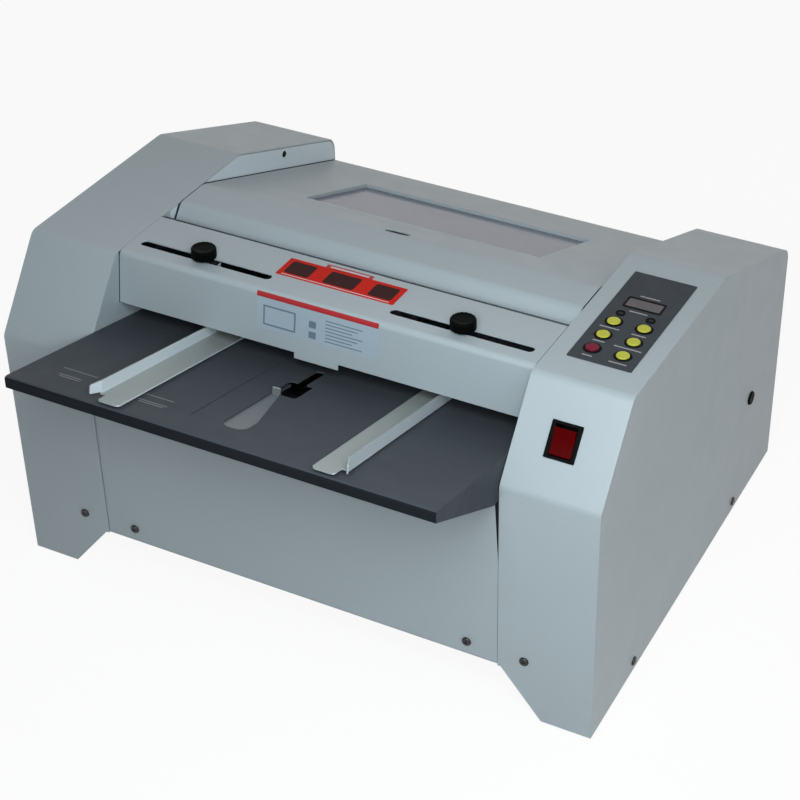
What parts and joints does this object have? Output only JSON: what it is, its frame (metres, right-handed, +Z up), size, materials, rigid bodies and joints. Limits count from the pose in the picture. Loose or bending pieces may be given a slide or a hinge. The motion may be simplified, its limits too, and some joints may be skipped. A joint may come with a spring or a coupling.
{
  "type": "booklet maker",
  "caption": "Desktop booklet maker: sheets slide down a sloping tray with side guides, are stapled and knife-folded under a hinged windowed lid, and leave at the back.",
  "frame": {"origin": "on the floor, under the middle of the machine including its tray", "axes": "+X to the operator's right, +Y to the back, +Z up"},
  "size_m": [0.5844, 0.56, 0.338],
  "materials": {
    "housing_paint": "satin pale blue-grey powder coat",
    "base_paint": "satin blue-grey powder coat",
    "tray_paint": "matt charcoal powder coat",
    "guide_paint": "satin pale grey powder coat",
    "pusher_paint": "satin grey powder coat",
    "steel": "brushed steel",
    "dark_steel": "dark phosphate finish",
    "bronze": "sintered bronze",
    "foot_rubber": "matt black rubber",
    "roller_rubber": "ground grey rubber",
    "knob_plastic": "black moulded plastic",
    "overlay_film": "charcoal printed film",
    "lens": "smoked lens",
    "lamp": "dark lamp lens",
    "black_plastic": "black plastic",
    "yellow_plastic": "yellow plastic",
    "red_plastic": "crimson plastic",
    "rocker_plastic": "dark red plastic",
    "pane": "clear pane",
    "gear_plastic": "ivory acetal",
    "motor_paint": "black painted can",
    "board": "green laminate",
    "supply_case": "plain sheet"
  },
  "bodies": {
    "housing": {"base_pan": "base_paint", "rubber_feet": "foot_rubber", "left_side_frame": "housing_paint", "right_side_frame": "housing_paint", "left_side_cover": "housing_paint", "right_side_cover": "housing_paint", "front_panel": "housing_paint", "rear_panel": "housing_paint", "housing_screws": "dark_steel", "tie_bars": "steel", "input_tray": "tray_paint", "front_cover": "housing_paint", "lid_hinge_bases": "steel", "lid_hinge_pins": "dark_steel", "control_overlay": "overlay_film", "display_lens": "lens", "indicator_lamps": "lamp", "button_bezels": "black_plastic", "switch_bezel": "black_plastic", "fuse_cap": "black_plastic", "power_inlet": "black_plastic", "paper_bed": "steel", "clinch_bar": "steel", "staple_beam": "steel", "left_staple_head": "dark_steel", "right_staple_head": "dark_steel", "shaft_bushes": "bronze", "drive_motor": "motor_paint", "motor_bracket": "steel", "stop_rods": "steel", "exit_chute": "steel", "control_board": "board", "power_supply": "supply_case"},
    "left_guide": {"left_guide": "guide_paint"},
    "right_guide": {"right_guide": "guide_paint"},
    "left_knob": {"left_knob": "knob_plastic"},
    "right_knob": {"right_knob": "knob_plastic"},
    "lid": {"top_lid": "housing_paint", "lid_window": "pane", "lid_hinge_leaves": "steel"},
    "pusher": {"stack_pusher": "pusher_paint"},
    "stop": {"paper_stop": "dark_steel"},
    "red_button": {"red_button": "red_plastic"},
    "switch_rocker": {"switch_rocker": "rocker_plastic"},
    "knife": {"fold_knife": "steel"},
    "knife_rocker": {"knife_rocker": "dark_steel"},
    "front_roller": {"front_roller": "roller_rubber", "front_roller_gear": "gear_plastic", "drive_gear": "gear_plastic"},
    "rear_roller": {"rear_roller": "roller_rubber", "rear_roller_gear": "gear_plastic"},
    "motor_pinion": {"motor_pinion": "gear_plastic"},
    "left_driver": {"left_staple_driver": "steel"},
    "right_driver": {"right_staple_driver": "steel"},
    "yellow_button_1": {"yellow_button_1": "yellow_plastic"},
    "yellow_button_2": {"yellow_button_2": "yellow_plastic"},
    "yellow_button_3": {"yellow_button_3": "yellow_plastic"},
    "yellow_button_4": {"yellow_button_4": "yellow_plastic"},
    "yellow_button_5": {"yellow_button_5": "yellow_plastic"}
  },
  "joints": [
    {"name": "lid_hinge", "type": "hinge", "parent": "housing", "child": "lid", "pos_m": [0, 0.2735, 0.20913], "axis": [-1, 0, 0], "range_deg": [0, 95]},
    {"name": "left_guide_slide", "type": "slide", "parent": "housing", "child": "left_guide", "axis": [1, 0, 0], "range_m": [-0.06, 0.06]},
    {"name": "right_guide_slide", "type": "slide", "parent": "housing", "child": "right_guide", "axis": [1, 0, 0], "range_m": [-0.06, 0.06]},
    {"name": "left_knob_turn", "type": "hinge", "parent": "left_guide", "child": "left_knob", "pos_m": [-0.126, -0.08302, 0.32597], "axis": [0, 0.0382, 0.9993], "range_deg": [-180, 180]},
    {"name": "right_knob_turn", "type": "hinge", "parent": "right_guide", "child": "right_knob", "pos_m": [0.126, -0.08302, 0.32597], "axis": [0, 0.0382, 0.9993], "range_deg": [-180, 180]},
    {"name": "pusher_slide", "type": "slide", "parent": "housing", "child": "pusher", "axis": [0, 0.9659, -0.2588], "range_m": [0, 0.027]},
    {"name": "stop_slide", "type": "slide", "parent": "housing", "child": "stop", "axis": [0, 0.9659, -0.2588], "range_m": [-0.045, 0.025]},
    {"name": "red_button_press", "type": "slide", "parent": "housing", "child": "red_button", "axis": [0, -0.0382, -0.9993], "range_m": [0, 0.0012], "stiffness_N_per_m": 800, "springref_m": -0.0008},
    {"name": "yellow_button_1_press", "type": "slide", "parent": "housing", "child": "yellow_button_1", "axis": [0, -0.0382, -0.9993], "range_m": [0, 0.0012], "stiffness_N_per_m": 800, "springref_m": -0.0008},
    {"name": "yellow_button_2_press", "type": "slide", "parent": "housing", "child": "yellow_button_2", "axis": [0, -0.0382, -0.9993], "range_m": [0, 0.0012], "stiffness_N_per_m": 800, "springref_m": -0.0008},
    {"name": "yellow_button_3_press", "type": "slide", "parent": "housing", "child": "yellow_button_3", "axis": [0, -0.0382, -0.9993], "range_m": [0, 0.0012], "stiffness_N_per_m": 800, "springref_m": -0.0008},
    {"name": "yellow_button_4_press", "type": "slide", "parent": "housing", "child": "yellow_button_4", "axis": [0, -0.0382, -0.9993], "range_m": [0, 0.0012], "stiffness_N_per_m": 800, "springref_m": -0.0008},
    {"name": "yellow_button_5_press", "type": "slide", "parent": "housing", "child": "yellow_button_5", "axis": [0, -0.0382, -0.9993], "range_m": [0, 0.0012], "stiffness_N_per_m": 800, "springref_m": -0.0008},
    {"name": "switch_rocker_tilt", "type": "hinge", "parent": "housing", "child": "switch_rocker", "pos_m": [0.2435, -0.13606, 0.28543], "axis": [-1, 0, 0], "range_deg": [0, 16]},
    {"name": "knife_slide", "type": "slide", "parent": "housing", "child": "knife", "axis": [0, -0.2588, -0.9659], "range_m": [0, 0.02394], "stiffness_N_per_m": 400, "springref_m": -0.06},
    {"name": "knife_rocker_swing", "type": "hinge", "parent": "housing", "child": "knife_rocker", "pos_m": [0, 0.16109, 0.22311], "axis": [1, 0, 0], "range_deg": [0, 40]},
    {"name": "front_roller_spin", "type": "hinge", "parent": "housing", "child": "front_roller", "pos_m": [0, 0.09778, 0.17689], "axis": [1, 0, 0], "continuous": true},
    {"name": "rear_roller_spin", "type": "hinge", "parent": "housing", "child": "rear_roller", "pos_m": [0, 0.12927, 0.16845], "axis": [1, 0, 0], "continuous": true},
    {"name": "motor_pinion_spin", "type": "hinge", "parent": "housing", "child": "motor_pinion", "pos_m": [0, 0.09778, 0.13209], "axis": [1, 0, 0], "continuous": true},
    {"name": "left_driver_slide", "type": "slide", "parent": "housing", "child": "left_driver", "axis": [0, -0.2588, -0.9659], "range_m": [0, 0.014], "stiffness_N_per_m": 100, "springref_m": -0.05},
    {"name": "right_driver_slide", "type": "slide", "parent": "housing", "child": "right_driver", "axis": [0, -0.2588, -0.9659], "range_m": [0, 0.014], "stiffness_N_per_m": 100, "springref_m": -0.05}
  ],
  "couplings": [
    {"joint": "knife_rocker_swing", "follows": "knife_slide", "rad_per_m": 29.16},
    {"joint": "rear_roller_spin", "follows": "front_roller_spin", "ratio": -1},
    {"joint": "motor_pinion_spin", "follows": "front_roller_spin", "ratio": -3},
    {"joint": "right_driver_slide", "follows": "left_driver_slide", "ratio": 1}
  ]
}
